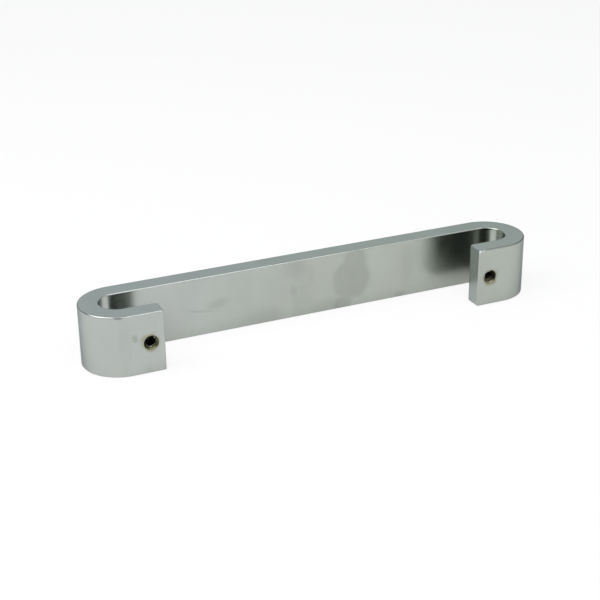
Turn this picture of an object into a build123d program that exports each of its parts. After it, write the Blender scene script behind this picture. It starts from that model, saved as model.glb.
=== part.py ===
from build123d import *
from math import radians, tan
import os

# A bridge pull handle: one zinc casting, C-shaped from above, that two M4
# screws fix from behind a door or a drawer front. X runs along the bar, -Y
# points at the door and Z is up. The origin is on the mounting plane, midway
# between the two holes. Sizes are in millimetres.

# Overall form
hole_spacing = 128.0  # between the holes' centres, a standard drilling
projection = 27.0  # from the mounting plane to the outside of the bar
bar_width = 21.6  # of the stock, along Z
stock = 7.0  # thickness of the bar, the hooks and the feet

# Feet, from the centre of each hole
tip_reach = 4.8  # inwards, to the foot's free tip
land_reach = 6.5  # outwards, to the end of the flat, where the hook starts

# Rounding
edge_radius = 0.5  # of every long edge, and of the tip's edges at the door
tip_radius = 1.2  # of the tip's corner in the slot, where fingers meet it

# Holes, tapped M4 right through each foot
core_diameter = 3.3  # under the thread
mouth_diameter = 5.2  # of the countersink at the door
exit_diameter = 4.1  # of the light countersink in the slot
countersink_angle = 90.0

# What follows from these
hole_x = hole_spacing / 2
tip_x = hole_x - tip_reach
hook_x = hole_x + land_reach
slot_width = projection - 2 * stock
overall_length = 2 * hook_x + projection
same_place = 0.001


def at_the_tips(shapes, y):
    # The one of these corners or upright edges on each free tip, at this y.
    spots = [Vector(side * tip_x, y) for side in (-1, 1)]
    return shapes.filter_by(lambda shape: min(abs(shape.center() - spot) for spot in spots) < same_place)


def outline():
    # Two rounds about the same pair of centres keep the stock one thickness
    # all the way along, and the gap between the tips opens them to a C.
    ring = SlotCenterToCenter(2 * hook_x, projection) - SlotCenterToCenter(2 * hook_x, slot_width)
    gap = Rectangle(2 * tip_x, projection / 2, align=(Align.CENTER, Align.MIN))
    open_ring = Pos(0, projection / 2) * ring - gap
    return fillet(at_the_tips(open_ring.vertices(), stock), tip_radius)


def bar():
    # The outline at full width, with its two rims and the tips' door edges
    # rounded together, so that they meet in even corners.
    sharp = extrude(outline(), amount=bar_width / 2, both=True)
    bottom, *_, top = sharp.faces().sort_by(Axis.Z)
    uprights = at_the_tips(sharp.edges(), 0)
    return fillet(bottom.edges() + top.edges() + uprights, edge_radius)


def countersink(diameter):
    # The cone from this diameter at z = 0 down to the core.
    depth = (diameter - core_diameter) / 2 / tan(radians(countersink_angle / 2))
    return Cone(core_diameter / 2, diameter / 2, depth, align=(Align.CENTER, Align.CENTER, Align.MAX))


def hole():
    # What is cut away, with the mouth at z = 0 and the exit at -stock.
    core = Cylinder(core_diameter / 2, stock, align=(Align.CENTER, Align.CENTER, Align.MAX))
    exit_cone = Pos(0, 0, -stock) * Rot(180, 0, 0) * countersink(exit_diameter)
    return core + countersink(mouth_diameter) + exit_cone


door = Plane(origin=(0, 0, 0), x_dir=(1, 0, 0), z_dir=(0, -1, 0))
handle = bar()
for place in GridLocations(hole_spacing, 0, 2, 1):
    handle -= door * place * hole()

print("overall length", overall_length, "mm, volume", round(handle.volume / 1000, 2), "cm3")

os.makedirs("parts", exist_ok=True)
export_step(handle, "parts/handle.step")
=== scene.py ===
from math import cos, pi, radians, sin, tan

import bmesh
import bpy
from mathutils import Matrix, Vector


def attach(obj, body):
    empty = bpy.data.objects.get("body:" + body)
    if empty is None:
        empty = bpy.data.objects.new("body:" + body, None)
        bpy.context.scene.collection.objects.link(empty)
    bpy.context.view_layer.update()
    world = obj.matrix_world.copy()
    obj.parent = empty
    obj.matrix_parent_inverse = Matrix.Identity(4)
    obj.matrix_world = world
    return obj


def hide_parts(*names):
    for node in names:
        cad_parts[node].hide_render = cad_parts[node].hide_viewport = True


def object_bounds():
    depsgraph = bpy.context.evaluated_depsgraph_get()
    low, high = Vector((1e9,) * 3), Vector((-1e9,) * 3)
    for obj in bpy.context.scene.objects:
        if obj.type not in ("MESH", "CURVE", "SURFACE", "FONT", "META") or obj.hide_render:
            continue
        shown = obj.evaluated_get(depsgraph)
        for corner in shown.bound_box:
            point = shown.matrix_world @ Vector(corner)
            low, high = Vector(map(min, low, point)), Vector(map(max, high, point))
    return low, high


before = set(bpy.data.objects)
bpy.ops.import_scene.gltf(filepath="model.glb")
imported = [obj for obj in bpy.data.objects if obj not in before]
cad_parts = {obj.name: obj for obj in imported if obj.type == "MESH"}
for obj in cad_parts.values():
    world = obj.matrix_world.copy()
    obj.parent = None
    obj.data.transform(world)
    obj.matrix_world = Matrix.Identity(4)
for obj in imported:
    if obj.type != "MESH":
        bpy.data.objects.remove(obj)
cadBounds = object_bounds()
mm = 0.001
print("frame loaded, nodes", sorted(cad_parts))


class Wire:
    # An output socket that can stand in an expression. Each operator adds its Math node.
    def __init__(self, graph, socket):
        self.graph = graph
        self.socket = socket

    def math(self, operation, *others):
        return self.graph.math(operation, self, *others)

    def __add__(self, other):
        return self.graph.math("ADD", self, other)

    def __sub__(self, other):
        return self.graph.math("SUBTRACT", self, other)

    def __rsub__(self, other):
        return self.graph.math("SUBTRACT", other, self)

    def __mul__(self, other):
        return self.graph.math("MULTIPLY", self, other)

    def __truediv__(self, other):
        return self.graph.math("DIVIDE", self, other)

    def __pow__(self, other):
        return self.graph.math("POWER", self, other)

    __radd__ = __add__
    __rmul__ = __mul__


class Several(list):
    # Links that all go into one socket.
    pass


class Graph:
    # A node tree that is filled by one method, for shaders and for geometry alike.
    def __init__(self, tree):
        self.tree = tree
        tree.nodes.clear()

    def add(self, kind, settings=None, values=None, output=0):
        # Settings come first, because they decide which sockets the node shows.
        node = self.tree.nodes.new(kind)
        for name, value in (settings or {}).items():
            setattr(node, name, value)
        for key, value in (values or {}).items():
            self.feed(self.find(node.inputs, key), value)
        return Wire(self, self.find(node.outputs, output)) if node.outputs else node

    def find(self, sockets, key):
        shown = [socket for socket in sockets if socket.enabled]
        if isinstance(key, int):
            return shown[key]
        return next(socket for socket in shown if socket.name == key)

    def feed(self, socket, value):
        for one in value if isinstance(value, Several) else [value]:
            if isinstance(one, Wire):
                self.tree.links.new(one.socket, socket)
            else:
                socket.default_value = one

    def math(self, operation, *values):
        return self.add("ShaderNodeMath", {"operation": operation}, dict(enumerate(values)))

    def axes(self, vector):
        # The three numbers of a vector.
        split = self.add("ShaderNodeSeparateXYZ", None, {0: vector}).socket.node
        return [Wire(self, socket) for socket in split.outputs]

    def vector(self, x=0.0, y=0.0, z=0.0):
        return self.add("ShaderNodeCombineXYZ", None, {"X": x, "Y": y, "Z": z})

    def distance(self, first, *others):
        # How far these offsets along the axes reach together.
        total = first * first
        for offset in others:
            total = total + offset * offset
        return total.math("SQRT")

    def smooth(self, value, low, high):
        # 0 at low and 1 at high, with a soft start and end.
        settings = {"interpolation_type": "SMOOTHSTEP"}
        values = {"Value": value, "From Min": low, "From Max": high}
        return self.add("ShaderNodeMapRange", settings, values)

    def fade(self, value, span, origin=0.0):
        # 0 at the start of the span and 1 at its end, both in millimetres from the origin.
        start, end = span
        return self.smooth(value, (origin + start) * mm, (origin + end) * mm)

    def blend(self, factor, first, second, how="MIX"):
        # A mix of two colours.
        settings = {"data_type": "RGBA", "blend_type": how}
        return self.add("ShaderNodeMix", settings, {"Factor": factor, "A": first, "B": second})

    def noise(self, place, scale, detail, output=0):
        values = {"Vector": place, "Scale": scale, "Detail": detail}
        return self.add("ShaderNodeTexNoise", None, values, output)


def newMaterial(name):
    # A material with an empty graph, and the point that it colours.
    material = bpy.data.materials.new(name)
    material.use_nodes = True
    graph = Graph(material.node_tree)
    return material, graph, graph.add("ShaderNodeTexCoord", None, None, "Object")


def newTree(name, sockets):
    # A geometry tree with these named inputs.
    tree = bpy.data.node_groups.new(name, "GeometryNodeTree")
    tree.interface.new_socket("Geometry", in_out="OUTPUT", socket_type="NodeSocketGeometry")
    for label, kind in sockets.items():
        tree.interface.new_socket(label, in_out="INPUT", socket_type="NodeSocket" + kind)
    graph = Graph(tree)
    source = tree.nodes.new("NodeGroupInput")
    given = {label: Wire(graph, source.outputs[label]) for label in sockets}
    return graph, given


def closeTree(graph, geometry, material, selection=True):
    # The last nodes of every tree. Instances are made real, because they don't leave the file.
    real = graph.add("GeometryNodeRealizeInstances", None, {"Geometry": geometry})
    painted = graph.add("GeometryNodeSetMaterial", None, {
        "Geometry": real, "Selection": selection, "Material": material})
    graph.add("NodeGroupOutput", None, {"Geometry": painted})


def runTree(graph, holder, given):
    # Sets the modifier's inputs by identifier and returns the plain mesh it makes.
    modifier = holder.modifiers.new(graph.tree.name, "NODES")
    modifier.node_group = graph.tree
    for item in graph.tree.interface.items_tree:
        if item.in_out == "INPUT" and item.name in given:
            modifier[item.identifier] = given[item.name]
    holder.update_tag()
    depsgraph = bpy.context.evaluated_depsgraph_get()
    mesh = bpy.data.meshes.new_from_object(holder.evaluated_get(depsgraph), depsgraph=depsgraph)
    holder.modifiers.clear()
    return mesh


def newObject(name, data):
    made = bpy.data.objects.new(name, data)
    bpy.context.scene.collection.objects.link(made)
    return made


def polyline(name, points, closed, numbers):
    # A mesh of edges only. Each entry of numbers becomes an attribute with one value per point.
    mesh = bpy.data.meshes.new(name)
    count = len(points)
    edges = [(i, (i + 1) % count) for i in range(count if closed else count - 1)]
    mesh.from_pydata([Vector(point) * mm for point in points], edges, [])
    for label, values in numbers.items():
        attribute = mesh.attributes.new(label, "INT" if label.endswith("Steps") else "FLOAT", "POINT")
        attribute.data.foreach_set("value", values)
    return newObject(name, mesh)


# Sizes of the bent bar and of its two tapped holes, in millimetres. X runs along the bar, Y is the
# depth from the door faces, and Z is the height from the bar's middle.

bar = {
    "holeX": 64.0,  # from the middle to each hole
    "tipReach": 4.8,  # from the hole to the foot's free tip
    "landReach": 6.5,  # from the hole to the start of the hook
    "projection": 27.0,
    "stock": 7.0,
    "width": 21.6,
    "edgeRadius": 0.5,
    "tipRadius": 1.2,
    "edgeSteps": 8,  # of the quarter round along every rim
    "hookSteps": 56,  # of a quarter of a hook
    "cornerSteps": 10,
    "cornerMerge": 0.01,  # joins the points where two rounds meet
    "seamMerge": 0.001,
}
thread = {
    "core": 3.3,
    "major": 4.04,
    "pitch": 0.7,
    "turnSteps": 48,
    "overrun": 2.0,  # how much longer than the hole the thread is
    "sunkShare": 0.88,  # of the thread's length, below the door face
    "rootRadius": 1.5,  # inner end of the cutter's ridge, inside the core
    "mouth": 5.2,
    "mouthMargin": 0.1,  # past the mouth's radius, still painted as the hole
    "backMargin": 1.01,  # of the stock, to take in the hole's back edge
    "doorFacing": 0.9,  # past this a face looks at the door, and isn't a wall of the hole
    "exit": 4.1,
    "exitPast": 0.3,  # the cutter's cone runs on behind the foot
    "roll": 0.12,  # of the edge between the mouth and the door face
    "rollSteps": 4,
    "rollProud": 0.006,  # the rolled edge starts this far in front of the door face
    "collar": 0.05,  # the cutter is wider in front of the door face
    "collarLow": 0.02,
    "collarHigh": 0.5,
}

hookX = bar["holeX"] + bar["landReach"]  # where the hooks' rounds are centred
outerRadius = bar["projection"] / 2
innerRadius = outerRadius - bar["stock"]
gripFace = bar["projection"] - bar["stock"]  # depth of the grip's inner face
topEdge = bar["width"] / 2

# The plating

chrome = {
    "clearTone": (0.446, 0.476, 0.450, 1),
    "cloudTone": (0.415, 0.446, 0.420, 1),
    "warmTone": (0.446, 0.461, 0.440, 1),
    "rightTint": (0.995, 1.005, 0.955, 1),  # painted tint for greener light falling from the right
    "tipTone": (0.436, 0.470, 0.458, 1),  # painted tint: the feet's end faces are cooler, for what they reflect
    "markTone": (0.338, 0.364, 0.328, 1),
    # painted shade on the rims
    "rimShadeTone": (0.10, 0.11, 0.105, 1),
    "cornerGlintTone": (0.90, 0.92, 0.95, 1),  # painted glint, as very bright metal
    "recessShadeTone": (0.072, 0.084, 0.079, 1),  # painted shade behind the feet, into the hooks
    "haloTone": (0.33, 0.33, 0.22, 1),
    "oilTone": (0.28, 0.25, 0.15, 1),
    "edgeTint": (0.47, 0.49, 0.51, 1),  # at a grazing look
    "roughness": 0.235,
    "cloudRough": 0.02,
    "markRough": 0.03,
    "cloudScale": 95.0,
    "cloudDrawn": 0.45,  # the cloud is drawn out across the bar, the way the satin was worked
    "cloudRange": (0.32, 0.70),  # of the noise, from clear to cloudy
    "tintScale": 62.0,
    "tintRange": (0.35, 0.65),
    "tintShare": 0.5,
    "haloShare": 0.5,
    "rimShare": 0.48,
    "markShare": 0.85,
    "markInCloud": 0.25,  # marks show more where the plating is cloudy
    "markWander": 2.4 * mm,  # how far the marks' outlines stray
    "wanderScale": 170.0,
    "grainScale": 5200.0,
    "grainHeight": 0.01 * mm,
    "grainStrength": 0.06,
    "waveScale": 34.0,
    "waveHeight": 0.012 * mm,
}

# Where the plating changes, in millimetres. Each span runs from nothing to full.
spans = {
    "offTop": (0.0, -0.07),  # from the top edge down, so that the painted rim shade keeps off the flat faces
    "rightwards": (-65.0, 30.0),  # along the bar
    "foot": (8.0, 7.0),  # by depth, so that the grip behind a foot stays out
    "halo": (3.6, thread["mouth"] / 2),
    "tip": (-4.3, -4.7),  # from the hole
    "recessWall": (0.5, 0.2),  # off the hook's inner round
    "recessTop": (0.0, -0.4),
    "recessDepth": (11.0, 8.5),
    "recessAlong": (-2.6, 5.9),  # from the hole, on to the hook
    "rimWall": (-0.55, -0.35),  # from the hook's outer round
    "rimTop": (-0.45, -0.2),
    "rimDepth": (14.0, 11.0),
    "rimAlong": (61.0, 63.0),
}
recessShadeShift = 1.4  # the painted shade starts earlier behind the right foot, and later behind the left


def mark(kind, centre, size, strength, soft, depth=0.0, reach=0.6, lean=0):
    # An oval on the face at that depth: centre and half sizes along X and Z, how strong it is, how
    # soft its edge, how far it reaches before and behind that depth, and its lean in degrees.
    return {"kind": kind, "centre": centre, "size": size, "strength": strength, "soft": soft,
            "depth": depth, "reach": reach, "lean": lean}


# Touch marks from handling, oil that has crept out of the holes, painted shade on a face and two rims, and
# painted glints at a corner.
marks = [
    mark("touch", (18.1, -0.4), (7.3, 7.3), 0.76, 0.22, gripFace),
    mark("touch", (19.7, 5.6), (4.6, 7.2), 0.74, 0.28, gripFace),
    mark("touch", (14.4, -8.8), (4.0, 3.0), 0.74, 0.50, gripFace, lean=20),
    mark("touch", (7.0, -9.0), (5.0, 3.6), 0.45, 0.80, gripFace),
    mark("touch", (-3.4, 7.4), (4.8, 4.2), 0.58, 0.75, gripFace, lean=-15),
    mark("touch", (-4.6, -0.4), (1.5, 2.6), 0.56, 0.75, gripFace, lean=10),
    mark("touch", (-1.0, -0.6), (0.9, 1.6), 0.35, 0.75, gripFace),
    mark("touch", (2.4, 4.5), (1.6, 5.0), 0.35, 0.80, gripFace),
    mark("touch", (-33.6, 0.1), (3.8, 1.5), 0.52, 0.80, gripFace, lean=3),
    mark("touch", (-39.4, -1.4), (4.6, 0.4), 0.50, 0.70, gripFace, lean=-9),
    mark("touch", (-2.0, -2.5), (15.0, 9.0), 0.20, 0.75, gripFace),
    mark("touch", (-15.5, -9.0), (7.5, 4.4), 0.58, 0.75, gripFace),
    mark("touch", (40.4, 1.5), (2.2, 7.0), 0.30, 0.75, gripFace),
    mark("touch", (38.2, -10.2), (1.8, 1.6), 0.60, 0.55, gripFace),
    # Painted shade: a faint dark band down the left hook, where its round meets the foot.
    mark("touch", (-72.8, 0.0), (2.2, 12.5), 0.17, 0.35, depth=0.5, reach=1.2),
    mark("touch", (-69.3, 2.6), (1.1, 1.1), 0.80, 0.40),
    mark("touch", (-66.6, 0.6), (1.2, 2.4), 0.50, 0.60),
    mark("touch", (66.9, 1.0), (1.0, 1.8), 0.55, 0.60),
    mark("oil", (-65.1, 2.5), (2.3, 0.9), 0.50, 0.60, lean=20),
    mark("oil", (-64.2, -3.0), (1.6, 0.7), 0.28, 0.60),
    mark("oil", (65.8, -2.3), (1.3, 1.1), 0.75, 0.50),
    mark("oil", (64.4, -3.1), (2.0, 0.9), 0.55, 0.60),
    # Painted shade: a gap in the left hook's rim highlight, and a dark right inner rim.
    mark("paintedRimShade", (-74.1, 10.75), (1.7, 0.45), 0.60, 0.50, depth=1.0, reach=1.6),
    mark("paintedRimShade", (73.4, 10.5), (2.4, 0.5), 0.88, 0.45, depth=18.6, reach=3.0),
    # Painted glints at the right foot's top corner.
    mark("cornerGlint", (59.75, 10.3), (0.35, 0.3), 0.9, 0.40),
    mark("cornerGlint", (60.9, 10.4), (0.3, 0.2), 0.8, 0.40),
]


def shownMarks(graph, place):
    # How much of each kind of mark a point shows: the strongest that reaches it.
    along, depth, height = graph.axes(place)
    stray = graph.axes(graph.noise(place, chrome["wanderScale"], detail=2.0, output="Color"))
    strayX, strayZ = ((part - 0.5) * chrome["markWander"] for part in (stray[0], stray[2]))
    offTop = graph.fade(height.math("ABSOLUTE"), spans["offTop"], topEdge)
    shown = {"touch": 0.0, "oil": 0.0, "paintedRimShade": 0.0, "cornerGlint": 0.0}
    for one in marks:
        (centreX, centreZ), (sizeX, sizeZ) = one["centre"], one["size"]
        acrossX, acrossZ = along + strayX - centreX * mm, height + strayZ - centreZ * mm
        lean = radians(one["lean"])
        longX = (acrossX * cos(lean) + acrossZ * sin(lean)) / (sizeX * mm)
        longZ = (acrossZ * cos(lean) - acrossX * sin(lean)) / (sizeZ * mm)
        inOval = graph.smooth(graph.distance(longX, longZ), 1 + one["soft"], 1 - one["soft"])
        offFace = (depth - one["depth"] * mm).math("ABSOLUTE")
        spot = inOval * graph.fade(offFace, (one["reach"], one["reach"] / 2)) * one["strength"]
        # The painted rim shade keeps off the flat top.
        if one["kind"] == "paintedRimShade":
            spot = spot * offTop
        shown[one["kind"]] = spot.math("MAXIMUM", shown[one["kind"]])
    return shown


def makeChrome():
    # Satin plating: a faint cloud in the tone, marks of use, painted shade, painted glints and painted
    # tints, fine grain and a slight wave.
    material, graph, place = newMaterial("satinChrome")
    along, depth, height = graph.axes(place)
    out, level = along.math("ABSOLUTE"), height.math("ABSOLUTE")
    shown = shownMarks(graph, place)

    drawn = graph.vector(x=along, y=depth, z=height * chrome["cloudDrawn"])
    cloud = graph.smooth(graph.noise(drawn, chrome["cloudScale"], detail=3.0), *chrome["cloudRange"])
    tint = graph.smooth(graph.noise(drawn, chrome["tintScale"], detail=2.0), *chrome["tintRange"])

    # Distance from the line that a hook is bent round. On the foot and the grip only depth counts.
    pastHook = (out - hookX * mm).math("MAXIMUM", 0.0)
    spread = graph.distance(pastHook, depth - outerRadius * mm)

    # Painted shade on the feet's back faces and the rounds next to them, which look into the hooks.
    recessShade = graph.fade((spread - innerRadius * mm).math("ABSOLUTE"), spans["recessWall"])
    recessShade = recessShade * graph.fade(level, spans["recessTop"], topEdge)
    recessShade = recessShade * graph.fade(depth, spans["recessDepth"])
    shifted = out + along.math("SIGN") * recessShadeShift * mm
    recessShade = recessShade * graph.fade(shifted, spans["recessAlong"], bar["holeX"])

    # Painted shade on the right hook's upper front rim, all the way round, for the dark room it reflects.
    outerRimShade = graph.fade(spread, spans["rimWall"], outerRadius) * graph.fade(depth, spans["rimDepth"])
    outerRimShade = outerRimShade * graph.fade(height, spans["rimTop"], topEdge)
    outerRimShade = outerRimShade * graph.fade(along, spans["rimAlong"]) * chrome["rimShare"]

    onFoot = graph.fade(depth, spans["foot"])
    atTip = graph.fade(out, spans["tip"], bar["holeX"]) * onFoot
    halo = graph.fade(graph.distance(out - bar["holeX"] * mm, height), spans["halo"]) * onFoot

    tone = graph.blend(cloud, chrome["clearTone"], chrome["cloudTone"])
    tone = graph.blend(tint * chrome["tintShare"], tone, chrome["warmTone"])
    # Painted tint of the light from the right.
    tone = graph.blend(graph.fade(along, spans["rightwards"]), tone, chrome["rightTint"], "MULTIPLY")
    # Painted tint on the feet's end faces.
    tone = graph.blend(atTip, tone, chrome["tipTone"])
    marked = shown["touch"] * (cloud * chrome["markInCloud"] + chrome["markShare"])
    tone = graph.blend(marked, tone, chrome["markTone"])
    # Painted shade in the recesses behind the feet.
    tone = graph.blend(recessShade, tone, chrome["recessShadeTone"])
    tone = graph.blend(halo * chrome["haloShare"], tone, chrome["haloTone"])
    tone = graph.blend(shown["oil"], tone, chrome["oilTone"])
    # Painted shade on the rims.
    tone = graph.blend(outerRimShade.math("MAXIMUM", shown["paintedRimShade"]), tone, chrome["rimShadeTone"])
    # Painted glints at the corner.
    tone = graph.blend(shown["cornerGlint"], tone, chrome["cornerGlintTone"])
    rough = cloud * chrome["cloudRough"] + shown["touch"] * chrome["markRough"] + chrome["roughness"]

    wave = graph.noise(place, chrome["waveScale"], detail=1.0)
    grain = graph.noise(place, chrome["grainScale"], detail=1.0)
    relief = graph.add("ShaderNodeBump", None, {
        "Strength": 1.0, "Distance": chrome["waveHeight"], "Height": wave})
    relief = graph.add("ShaderNodeBump", None, {
        "Strength": chrome["grainStrength"], "Distance": chrome["grainHeight"], "Height": grain,
        "Normal": relief})

    shader = graph.add("ShaderNodeBsdfPrincipled", None, {
        "Base Color": tone, "Metallic": 1.0, "Roughness": rough, "Specular Tint": chrome["edgeTint"],
        "Normal": relief})
    graph.add("ShaderNodeOutputMaterial", None, {"Surface": shader})
    return material


# The inside of the holes. Spans are in millimetres, from nothing to full, as on the plating.

bore = {
    "deepShade": (0.004, 0.004, 0.003, 1),  # painted shade deep in the thread
    "root": (0.045, 0.042, 0.026, 1),
    "paintedGlint": (0.95, 0.95, 0.80, 1),  # painted glints on the thread, as bright metal
    "edgeTint": (0.22, 0.22, 0.18, 1),
    "gloss": 0.1,  # where there is no bare metal
    "roughness": 0.24,
    "stainRough": 0.12,
    "coneRough": 0.08,
    "nonMetalRough": 0.4,
    "stainScale": 1100.0,
    "stainRange": (0.3, 0.7),
    "crest": (0.16, 0.03),  # from the core's radius
    "inner": (0.45, 0.25),  # the cone's inner edge, from the core's radius
    "rim": (-0.25, -0.03),  # from the mouth's radius
    "cone": (0.12, 0.05),  # radius and depth together, from the mouth's radius
    "exit": (-0.6, -0.4),  # from the foot's back face
    "firstTurn": (1.5, 1.0),
    "lit": 0.7,  # the thread is at its lightest down to this depth
    "paintedGlintSize": (0.38, 0.114),
    "shadeRange": (0.1, 0.75),
    "shadeShare": 0.9,
    "crestStain": 0.6,  # how much of a crest the stain takes off
    "glintInStain": 0.8,
    "glintShare": 0.3,
    "turnGlint": 0.4,
}
# The two holes differ in wear, and in painted light and shade. Each patch on a cone lies at a bearing
# round the hole, from faint to full, and paints the cone lighter there. The thread has a painted glint at
# the last patch's bearing on its first turn, and painted shade at the bearing of the shade. Fade is the
# depth where it is lost in the painted shade, and coated how much of a crest is under oil.
wear = {
    "left": {
        "crest": (0.30, 0.29, 0.21, 1),
        "coated": 0.2,
        "fade": 1.7,
        "glint": (0.60, 0.60, 0.40, 1),
        "shade": 125,
        "cone": (0.008, 0.008, 0.006, 1),
        "rim": (0.022, 0.022, 0.015, 1),
        "patches": [
            {"bearing": 310, "faint": -0.75, "full": 0.4,
             "cone": (0.12, 0.12, 0.072, 1), "rim": (0.17, 0.17, 0.11, 1)},
        ],
        "paintedGlints": [
            {"bearing": 50, "radius": 2.0, "depth": 0.6},
            {"bearing": 12, "radius": 1.86, "depth": 0.74},
            {"bearing": 330, "radius": 1.78, "depth": 0.82},
            {"bearing": 302, "radius": 1.70, "depth": 0.95},
            {"bearing": 272, "radius": 1.68, "depth": 1.0},
        ],
    },
    "right": {
        "crest": (0.44, 0.44, 0.27, 1),
        "coated": 0.8,
        "fade": 4.2,
        "glint": (0.38, 0.38, 0.27, 1),
        "shade": 30,
        "cone": (0.025, 0.025, 0.016, 1),
        "rim": (0.13, 0.13, 0.09, 1),
        "patches": [
            {"bearing": 165, "faint": -0.1, "full": 0.6,
             "cone": (0.80, 0.81, 0.73, 1), "rim": (0.80, 0.81, 0.73, 1)},
            {"bearing": 262, "faint": 0.3, "full": 0.9,
             "cone": (0.20, 0.195, 0.12, 1), "rim": (0.16, 0.15, 0.09, 1)},
        ],
        "paintedGlints": [
            {"bearing": 282, "radius": 1.66, "depth": 2.0},
            {"bearing": 243, "radius": 2.0, "depth": 0.6},
        ],
    },
}


def makeBore():
    # The tapped hole: an oily thread with lighter crests and painted glints, painted shade deeper in, and
    # a cone at the mouth with painted light and shade.
    material, graph, place = newMaterial("tappedBore")
    stain = graph.smooth(graph.noise(place, bore["stainScale"], detail=3.0), *bore["stainRange"])
    along, depth, height = graph.axes(place)
    fromHole = (along.math("ABSOLUTE") - bar["holeX"] * mm) * along.math("SIGN")
    radius = graph.distance(fromHole, height)

    def facing(bearing, faint, full):
        # How well a point's own bearing round the hole agrees with this one.
        angle = radians(bearing)
        return graph.smooth((fromHole * cos(angle) + height * sin(angle)) / radius, faint, full)

    # Where each band lies, between the thread and the rim.
    coreRadius, mouthRadius = thread["core"] / 2, thread["mouth"] / 2
    crest = graph.fade(radius, bore["crest"], coreRadius)
    inner = graph.fade(radius, bore["inner"], coreRadius)
    rimmed = graph.fade(radius, bore["rim"], mouthRadius)
    onCone = graph.fade(radius + depth, bore["cone"], mouthRadius)
    atExit = graph.fade(depth, bore["exit"], bar["stock"])
    firstTurn = graph.fade(depth, bore["firstTurn"])
    tones, metals = {}, {}
    for side, worn in wear.items():
        # Painted light and shade round the cone, by bearing, with each hole's wear.
        coneTone, rimTone = worn["cone"], worn["rim"]
        for patch in worn["patches"]:
            patched = facing(patch["bearing"], patch["faint"], patch["full"])
            coneTone = graph.blend(patched, coneTone, patch["cone"])
            rimTone = graph.blend(patched, rimTone, patch["rim"])
        # Painted glint on the cone's inner edge.
        glinting = patched * (stain * bore["glintInStain"] + bore["glintShare"])
        coneTone = graph.blend(inner * glinting, coneTone, worn["glint"])
        coneTone = graph.blend(rimmed, coneTone, rimTone)

        shade = facing(worn["shade"], *bore["shadeRange"])
        shallow = graph.fade(depth, (worn["fade"], bore["lit"])).math("MAXIMUM", atExit)
        shallow = shallow * (1 - shade * bore["shadeShare"])
        threadTone = graph.blend(crest * (1 - stain * bore["crestStain"]), bore["root"], worn["crest"])
        threadTone = graph.blend(firstTurn * glinting * bore["turnGlint"], threadTone, worn["glint"])
        # Painted shade deeper in the hole.
        threadTone = graph.blend(shallow, bore["deepShade"], threadTone)
        # Painted glints at given spots on the thread and cone.
        paintedGlintMask = 0.0
        for paintedGlint in worn["paintedGlints"]:
            bearing = radians(paintedGlint["bearing"])
            offX = fromHole - paintedGlint["radius"] * cos(bearing) * mm
            offY = depth - paintedGlint["depth"] * mm
            offZ = height - paintedGlint["radius"] * sin(bearing) * mm
            near = graph.fade(graph.distance(offX, offY, offZ), bore["paintedGlintSize"])
            paintedGlintMask = near.math("MAXIMUM", paintedGlintMask)
        tones[side] = graph.blend(paintedGlintMask, graph.blend(onCone, threadTone, coneTone), bore["paintedGlint"])
        metals[side] = (shallow * (1 - crest * (1 - onCone) * worn["coated"])).math("MAXIMUM", paintedGlintMask)
    onRight = along.math("GREATER_THAN", 0.0)
    tone = graph.blend(onRight, tones["left"], tones["right"])
    metal = metals["right"] * onRight + metals["left"] * (1 - onRight)
    rough = stain * bore["stainRough"] + onCone * bore["coneRough"]
    rough = rough + (1 - metal) * bore["nonMetalRough"] + bore["roughness"]
    shader = graph.add("ShaderNodeBsdfPrincipled", None, {
        "Base Color": tone, "Metallic": metal, "Roughness": rough, "Specular IOR Level": bore["gloss"],
        "Specular Tint": bore["edgeTint"]})
    graph.add("ShaderNodeOutputMaterial", None, {"Surface": shader})
    return material


def barOutline():
    # The C seen from above, as its twelve sharp corners. The tree rounds each by its own radius.
    tipX = bar["holeX"] - bar["tipReach"]
    outer = [
        ((tipX, 0), bar["edgeRadius"], bar["cornerSteps"]),
        ((hookX + outerRadius, 0), outerRadius, bar["hookSteps"]),
        ((hookX + outerRadius, bar["projection"]), outerRadius, bar["hookSteps"]),
    ]
    inner = [
        ((hookX + innerRadius, gripFace), innerRadius, bar["hookSteps"]),
        ((hookX + innerRadius, bar["stock"]), innerRadius, bar["hookSteps"]),
        ((tipX, bar["stock"]), bar["tipRadius"], bar["cornerSteps"]),
    ]

    def mirrored(corners):
        return [((-x, y), radius, steps) for (x, y), radius, steps in reversed(corners)]

    corners = outer + mirrored(outer) + mirrored(inner) + inner
    points = [(x, y, 0) for (x, y), _, _ in corners]
    numbers = {
        "cornerRadius": [radius * mm for _, radius, _ in corners],
        "cornerSteps": [steps for _, _, steps in corners],
    }
    return polyline("barOutline", points, True, numbers)


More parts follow.
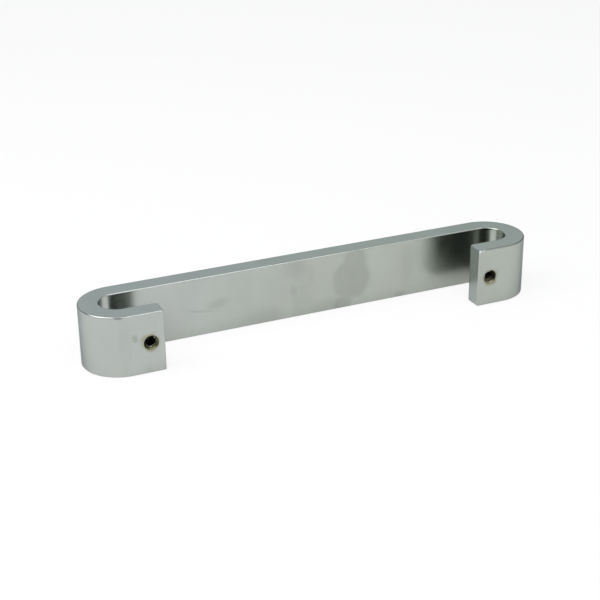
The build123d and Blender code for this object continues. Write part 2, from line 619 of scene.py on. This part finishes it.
def barTree():
    # Carries a rim-wall-rim profile round the outline and closes it with two flat faces.
    graph, given = newTree("hookedBar", {
        "Geometry": "Geometry", "Width": "Float", "Edge Radius": "Float", "Edge Steps": "Int",
        "Material": "Material"})
    radius = graph.add("GeometryNodeInputNamedAttribute", {"data_type": "FLOAT"}, {"Name": "cornerRadius"})
    steps = graph.add("GeometryNodeInputNamedAttribute", {"data_type": "INT"}, {"Name": "cornerSteps"})
    outline = graph.add("GeometryNodeMeshToCurve", None, {"Mesh": given["Geometry"]})
    outline = graph.add("GeometryNodeFilletCurve", {"mode": "POLY"}, {
        "Curve": outline, "Count": steps, "Radius": radius, "Limit Radius": False})

    # Through a mesh and back, to merge the points where two rounds meet.
    outline = graph.add("GeometryNodeCurveToMesh", None, {"Curve": outline})
    outline = graph.add("GeometryNodeMergeByDistance", None, {
        "Geometry": outline, "Distance": bar["cornerMerge"] * mm})
    outline = graph.add("GeometryNodeMeshToCurve", None, {"Mesh": outline})
    outline = graph.add("GeometryNodeSetCurveNormal", {"mode": "Z_UP"}, {"Curve": outline})

    # The profile folds at its middle: both halves are the same quarter round.
    last = given["Edge Steps"] * 2 + 1
    line = graph.add("GeometryNodeMeshLine", None, {"Count": last + 1, "Offset": (0, 0, 0)})
    index = graph.add("GeometryNodeInputIndex")
    side = (index - given["Edge Steps"] - 0.5).math("SIGN")
    turn = index.math("MINIMUM", last - index) / given["Edge Steps"] * (pi / 2)
    inset = (turn.math("SINE") - 1) * given["Edge Radius"]
    rise = side * (given["Width"] / 2 - given["Edge Radius"] * (1 - turn.math("COSINE")))
    spot = graph.vector(x=inset, y=rise)
    line = graph.add("GeometryNodeSetPosition", None, {"Geometry": line, "Position": spot})
    profile = graph.add("GeometryNodeMeshToCurve", None, {"Mesh": line})
    wall = graph.add("GeometryNodeCurveToMesh", None, {"Curve": outline, "Profile Curve": profile})
    wall = graph.add("GeometryNodeMergeByDistance", None, {
        "Geometry": wall, "Distance": bar["seamMerge"] * mm})

    # The open edge at the top, which has one face only, is the flat face's own outline.
    touching = graph.add("GeometryNodeInputMeshEdgeNeighbors")
    lift = graph.axes(graph.add("GeometryNodeInputPosition"))[2]
    rim = graph.add("FunctionNodeBooleanMath", {"operation": "AND"}, {
        0: touching.math("LESS_THAN", 1.5), 1: lift.math("GREATER_THAN", 0.0)})
    rim = graph.add("GeometryNodeMeshToCurve", None, {"Mesh": wall, "Selection": rim})
    flat = graph.add("GeometryNodeFillCurve", {"mode": "NGONS"}, {"Curve": rim})
    faces = []
    for end in (1, -1):
        move = graph.vector(z=given["Width"] * (end / 2))
        faces.append(graph.add("GeometryNodeTransform", None, {"Geometry": flat, "Translation": move}))
    faces[1] = graph.add("GeometryNodeFlipFaces", None, {"Mesh": faces[1]})
    whole = graph.add("GeometryNodeJoinGeometry", None, {"Geometry": Several([wall, *faces])})
    whole = graph.add("GeometryNodeMergeByDistance", None, {
        "Geometry": whole, "Distance": bar["seamMerge"] * mm})
    closeTree(graph, whole, given["Material"])
    return graph


def cutterAxis():
    # The hole's turned form, as points along its axis with a radius each. Z points out at the door.
    mouthDepth = (thread["mouth"] - thread["core"]) / 2
    exitDepth = (thread["exit"] - thread["core"]) / 2
    outwards = thread["roll"] * tan(pi / 8)
    places = []
    for step in range(thread["rollSteps"] + 1):
        angle = pi / 4 * step / thread["rollSteps"]  # from flat along the face to the cone's own slope
        places.append((
            outwards + thread["mouth"] / 2 - thread["roll"] * sin(angle),
            -thread["roll"] * (1 - cos(angle)) + thread["rollProud"]))
    collar = places[0][0] + thread["collar"]
    places = [(collar, thread["collarHigh"]), (collar, thread["collarLow"])] + places
    places += [(thread["core"] / 2, -mouthDepth), (thread["core"] / 2, exitDepth - bar["stock"])]
    places += [(thread["exit"] / 2 + thread["exitPast"], -bar["stock"] - thread["exitPast"])]
    points = [(0, 0, z) for _, z in places]
    return polyline("cutterAxis", points, False, {"turnRadius": [radius for radius, _ in places]})


def cutterTree():
    # The turned form, and a ridge along a helix that leaves the thread's groove.
    graph, given = newTree("tappedHole", {
        "Geometry": "Geometry", "Major Radius": "Float", "Root Radius": "Float", "Pitch": "Float",
        "Turns": "Float", "Steps": "Int", "Material": "Material"})
    radius = graph.add("GeometryNodeInputNamedAttribute", {"data_type": "FLOAT"}, {"Name": "turnRadius"})
    axis = graph.add("GeometryNodeMeshToCurve", None, {"Mesh": given["Geometry"]})
    ring = graph.add("GeometryNodeCurvePrimitiveCircle", None, {
        "Resolution": given["Steps"] * 2, "Radius": mm})
    turned = graph.add("GeometryNodeCurveToMesh", None, {
        "Curve": axis, "Profile Curve": ring, "Scale": radius, "Fill Caps": True})

    # A 60 degree groove, flat over an eighth of the pitch at its bottom.
    groove = given["Major Radius"] - given["Root Radius"]
    tipWidth = given["Pitch"] / 8
    rootWidth = tipWidth + groove * (2 * tan(pi / 6))
    section = graph.add("GeometryNodeCurvePrimitiveQuadrilateral", {"mode": "TRAPEZOID"}, {
        "Height": groove, "Bottom Width": rootWidth, "Top Width": tipWidth, "Offset": 0.0})
    section = graph.add("GeometryNodeTransform", None, {"Geometry": section, "Rotation": (0, 0, -pi / 2)})
    middle = (given["Major Radius"] + given["Root Radius"]) / 2
    fullHeight = given["Turns"] * given["Pitch"]
    helix = graph.add("GeometryNodeCurveSpiral", None, {
        "Resolution": given["Steps"], "Rotations": given["Turns"], "Start Radius": middle,
        "End Radius": middle, "Height": fullHeight})
    down = graph.vector(z=fullHeight * -thread["sunkShare"])
    helix = graph.add("GeometryNodeTransform", None, {"Geometry": helix, "Translation": down})
    helix = graph.add("GeometryNodeSetCurveNormal", {"mode": "Z_UP"}, {"Curve": helix})
    ridge = graph.add("GeometryNodeCurveToMesh", None, {
        "Curve": helix, "Profile Curve": section, "Fill Caps": True})
    solid = graph.add("GeometryNodeMeshBoolean", {"operation": "UNION", "solver": "EXACT"}, {
        0: Several([turned, ridge])})
    closeTree(graph, solid, given["Material"])
    return graph


def drillTree():
    # Sets a cutter at each hole and takes it out of the bar.
    graph, given = newTree("drilledBar", {
        "Geometry": "Geometry", "Cutter": "Object", "Hole X": "Float", "Mouth Radius": "Float",
        "Stock": "Float", "Plating": "Material", "Bore": "Material"})
    cutter = graph.add("GeometryNodeObjectInfo", {"transform_space": "ORIGINAL"}, {
        "Object": given["Cutter"]}, "Geometry")
    start, stride = graph.vector(x=given["Hole X"] * -1.0), graph.vector(x=given["Hole X"] * 2.0)
    spots = graph.add("GeometryNodeMeshLine", None, {
        "Count": 2, "Start Location": start, "Offset": stride})
    cutters = graph.add("GeometryNodeInstanceOnPoints", None, {
        "Points": spots, "Instance": cutter, "Rotation": (pi / 2, 0, 0)})
    cutters = graph.add("GeometryNodeRealizeInstances", None, {"Geometry": cutters})
    cut = graph.add("GeometryNodeMeshBoolean", {"operation": "DIFFERENCE", "solver": "EXACT"}, {
        "Mesh 1": given["Geometry"], "Mesh 2": cutters})
    plated = graph.add("GeometryNodeSetMaterial", None, {"Geometry": cut, "Material": given["Plating"]})

    # The walls of the holes: near an axis, within the foot, and not facing the door.
    x, y, z = graph.axes(graph.add("GeometryNodeInputPosition"))
    facing = graph.axes(graph.add("GeometryNodeInputNormal"))[1]
    radius = graph.distance(x.math("ABSOLUTE") - given["Hole X"], z)
    inside = radius.math("LESS_THAN", given["Mouth Radius"])
    inside = inside * y.math("LESS_THAN", given["Stock"] * thread["backMargin"])
    inside = inside * facing.math("ABSOLUTE").math("LESS_THAN", thread["doorFacing"])
    closeTree(graph, plated, given["Bore"], inside)
    return graph


skin = {
    "merge": 0.0005 * mm,
    "sharpAngle": 28,  # in degrees: an edge that turns further stays sharp
}


def finishSkin(name, mesh):
    # One clean skin: doubles merged, faces outwards, sharp where the real edges are.
    shape = bmesh.new()
    shape.from_mesh(mesh)
    bmesh.ops.remove_doubles(shape, verts=shape.verts, dist=skin["merge"])
    bmesh.ops.dissolve_degenerate(shape, edges=shape.edges, dist=skin["merge"])
    bmesh.ops.recalc_face_normals(shape, faces=shape.faces)
    shape.to_mesh(mesh)
    openEdges = sum(1 for edge in shape.edges if not edge.is_manifold)
    volume = round(shape.calc_volume() / mm ** 3)
    print(name, len(shape.faces), "faces,", openEdges, "open edges,", volume, "mm3")
    shape.free()
    mesh.shade_smooth()
    mesh.set_sharp_from_angle(angle=radians(skin["sharpAngle"]))
    holder = newObject(name, mesh)
    weighted = holder.modifiers.new("weighted", "WEIGHTED_NORMAL")
    weighted.keep_sharp = True
    depsgraph = bpy.context.evaluated_depsgraph_get()
    holder.data = bpy.data.meshes.new_from_object(
        holder.evaluated_get(depsgraph), preserve_all_data_layers=True, depsgraph=depsgraph)
    holder.modifiers.clear()
    return holder


# The handle

satinChrome = makeChrome()
tappedBore = makeBore()
print("materials ready")

outline = barOutline()
barMesh = runTree(barTree(), outline, {
    "Width": bar["width"] * mm, "Edge Radius": bar["edgeRadius"] * mm, "Edge Steps": bar["edgeSteps"],
    "Material": satinChrome})
print("bar", len(barMesh.vertices), "vertices", len(barMesh.polygons), "faces")

axis = cutterAxis()
cutterMesh = runTree(cutterTree(), axis, {
    "Major Radius": thread["major"] / 2 * mm, "Root Radius": thread["rootRadius"] * mm,
    "Pitch": thread["pitch"] * mm, "Turns": (bar["stock"] + thread["overrun"]) / thread["pitch"],
    "Steps": thread["turnSteps"], "Material": tappedBore})
print("cutter", len(cutterMesh.vertices), "vertices", len(cutterMesh.polygons), "faces")

blank = newObject("blank", barMesh)
cutter = newObject("cutter", cutterMesh)
paintedRadius = thread["mouth"] / 2 * mm + thread["mouthMargin"] * mm
handleMesh = runTree(drillTree(), blank, {
    "Cutter": cutter, "Hole X": bar["holeX"] * mm, "Mouth Radius": paintedRadius,
    "Stock": bar["stock"] * mm, "Plating": satinChrome, "Bore": tappedBore})
for scrap in (outline, axis, blank, cutter):
    bpy.data.objects.remove(scrap)
pull = finishSkin("pull", handleMesh)
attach(pull, "root")
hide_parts("handle")

# The studio

studio = {
    "floorTone": (0.86, 0.86, 0.85, 1),
    "floorSize": 30.0,
    "white": (1, 1, 1, 1),
    "whiteShare": 0.85,  # of the floor's white that the camera sees unlit
    "mirrorShare": 0.15,  # of the same white in the metal's reflections
    "dark": (0, 0, 0, 1),
}
# Soft glows of the room: direction, how tight, tone.
glows = [
    {"towards": (0.15, 0.88, 0.42), "power": 3.0, "tone": (0.645, 0.685, 0.72, 1)},  # the backdrop
    {"towards": (0.70, 0.65, 0.30), "power": 4.0, "tone": (0.31, 0.36, 0.36, 1)},
    {"towards": (0.55, -0.55, 0.60), "power": 4.0, "tone": (1.06, 1.06, 1.15, 1)},
]
# Softboxes round the table: bearing from +X towards +Y, rise, distance, width and height, power.
lamps = [
    {"name": "front", "bearing": 270, "rise": 18, "away": 0.9, "size": (0.7, 0.3), "power": 0.7},
    {"name": "frontTop", "bearing": 272, "rise": 64, "away": 0.8, "size": (0.8, 0.4), "power": 1.9},
    {"name": "leftTop", "bearing": 190, "rise": 58, "away": 0.8, "size": (0.85, 0.7), "power": 4.0},
    {"name": "leftHigh", "bearing": 175, "rise": 48, "away": 0.8, "size": (0.6, 0.5), "power": 0.75},
    {"name": "left", "bearing": 180, "rise": 38, "away": 1.2, "size": (0.6, 0.5), "power": 1.8},
]


def paleShare(graph, cameraShare):
    # How much of the plain white a ray meets: most for the camera, a little for the metal.
    kinds = ("Is Camera Ray", "Is Glossy Ray", "Is Transmission Ray")
    camera, glossy, through = (graph.add("ShaderNodeLightPath", None, None, kind) for kind in kinds)
    return camera * cameraShare + (glossy + through) * studio["mirrorShare"]


def makeFloor():
    # A pale sheet. The camera sees it nearly white by itself, and the rest comes from the lamps, so
    # shadows stay.
    size = studio["floorSize"] / 2
    level = cadBounds[0].z
    corners = [(-size, -size, level), (size, -size, level), (size, size, level), (-size, size, level)]
    mesh = bpy.data.meshes.new("floor")
    mesh.from_pydata(corners, [], [(0, 1, 2, 3)])
    floor = newObject("floor", mesh)
    material = bpy.data.materials.new("paleSheet")
    material.use_nodes = True
    graph = Graph(material.node_tree)
    sheet = graph.add("ShaderNodeBsdfDiffuse", None, {"Color": studio["floorTone"]})
    white = graph.add("ShaderNodeEmission", None, {"Color": studio["white"], "Strength": 1.0})
    mixed = graph.add("ShaderNodeMixShader", None, {
        0: paleShare(graph, studio["whiteShare"]), 1: sheet, 2: white})
    graph.add("ShaderNodeOutputMaterial", None, {"Surface": mixed})
    mesh.materials.append(material)


def makeRoom():
    # A dim room with a pale backdrop behind the table. The camera sees it white, as the floor.
    world = bpy.data.worlds.new("room")
    world.use_nodes = True
    graph = Graph(world.node_tree)
    direction = graph.add("ShaderNodeTexCoord", None, None, "Generated")
    tone = studio["dark"]
    for glow in glows:
        towards = Vector(glow["towards"]).normalized()
        near = graph.add("ShaderNodeVectorMath", {"operation": "DOT_PRODUCT"}, {
            0: direction, 1: towards}, "Value")
        near = near.math("MAXIMUM", 0.0) ** glow["power"]
        light = graph.blend(near, studio["dark"], glow["tone"])
        tone = graph.blend(1.0, tone, light, "ADD")
    room = graph.add("ShaderNodeBackground", None, {"Color": tone, "Strength": 1.0})
    white = graph.add("ShaderNodeBackground", None, {"Color": studio["white"], "Strength": 1.0})
    mixed = graph.add("ShaderNodeMixShader", None, {0: paleShare(graph, 1.0), 1: room, 2: white})
    graph.add("ShaderNodeOutputWorld", None, {"Surface": mixed})
    bpy.context.scene.world = world


def makeLamps():
    for lamp in lamps:
        light = bpy.data.lights.new(lamp["name"], "AREA")
        light.shape = "RECTANGLE"
        light.size, light.size_y = lamp["size"]
        light.energy = lamp["power"]
        made = newObject(lamp["name"], light)
        bearing, rise = radians(lamp["bearing"]), radians(lamp["rise"])
        towards = Vector((cos(bearing) * cos(rise), sin(bearing) * cos(rise), sin(rise)))
        made.location = towards * lamp["away"]
        made.rotation_euler = (-made.location).to_track_quat("-Z", "Y").to_euler()


view = {
    "azimuth": -23.840,
    "elevation": 23.854,
    "roll": -0.682,
    "place": (-178.647, -379.440, 188.557),  # in millimetres
    "lens": 80.375,
    "sensor": 36.0,
    "clip": (0.01, 60.0),  # in metres
}


def makeCamera():
    turn, rise, roll = (radians(view[name]) for name in ("azimuth", "elevation", "roll"))
    right = Vector((cos(turn), sin(turn), 0))
    back = Vector((sin(turn) * cos(rise), -cos(turn) * cos(rise), sin(rise)))
    up = back.cross(right)
    lens = bpy.data.cameras.new("camera")
    lens.lens = view["lens"]
    lens.sensor_width = view["sensor"]
    lens.clip_start, lens.clip_end = view["clip"]
    camera = newObject("camera", lens)
    rolledRight = right * cos(roll) + up * sin(roll)
    rolledUp = up * cos(roll) - right * sin(roll)
    axes = Matrix((rolledRight, rolledUp, back)).transposed()
    camera.matrix_world = Matrix.Translation(Vector(view["place"]) * mm) @ axes.to_4x4()
    bpy.context.scene.camera = camera


makeFloor()
makeRoom()
makeLamps()
makeCamera()
bpy.context.scene.view_settings.view_transform = "Standard"
print("studio ready")
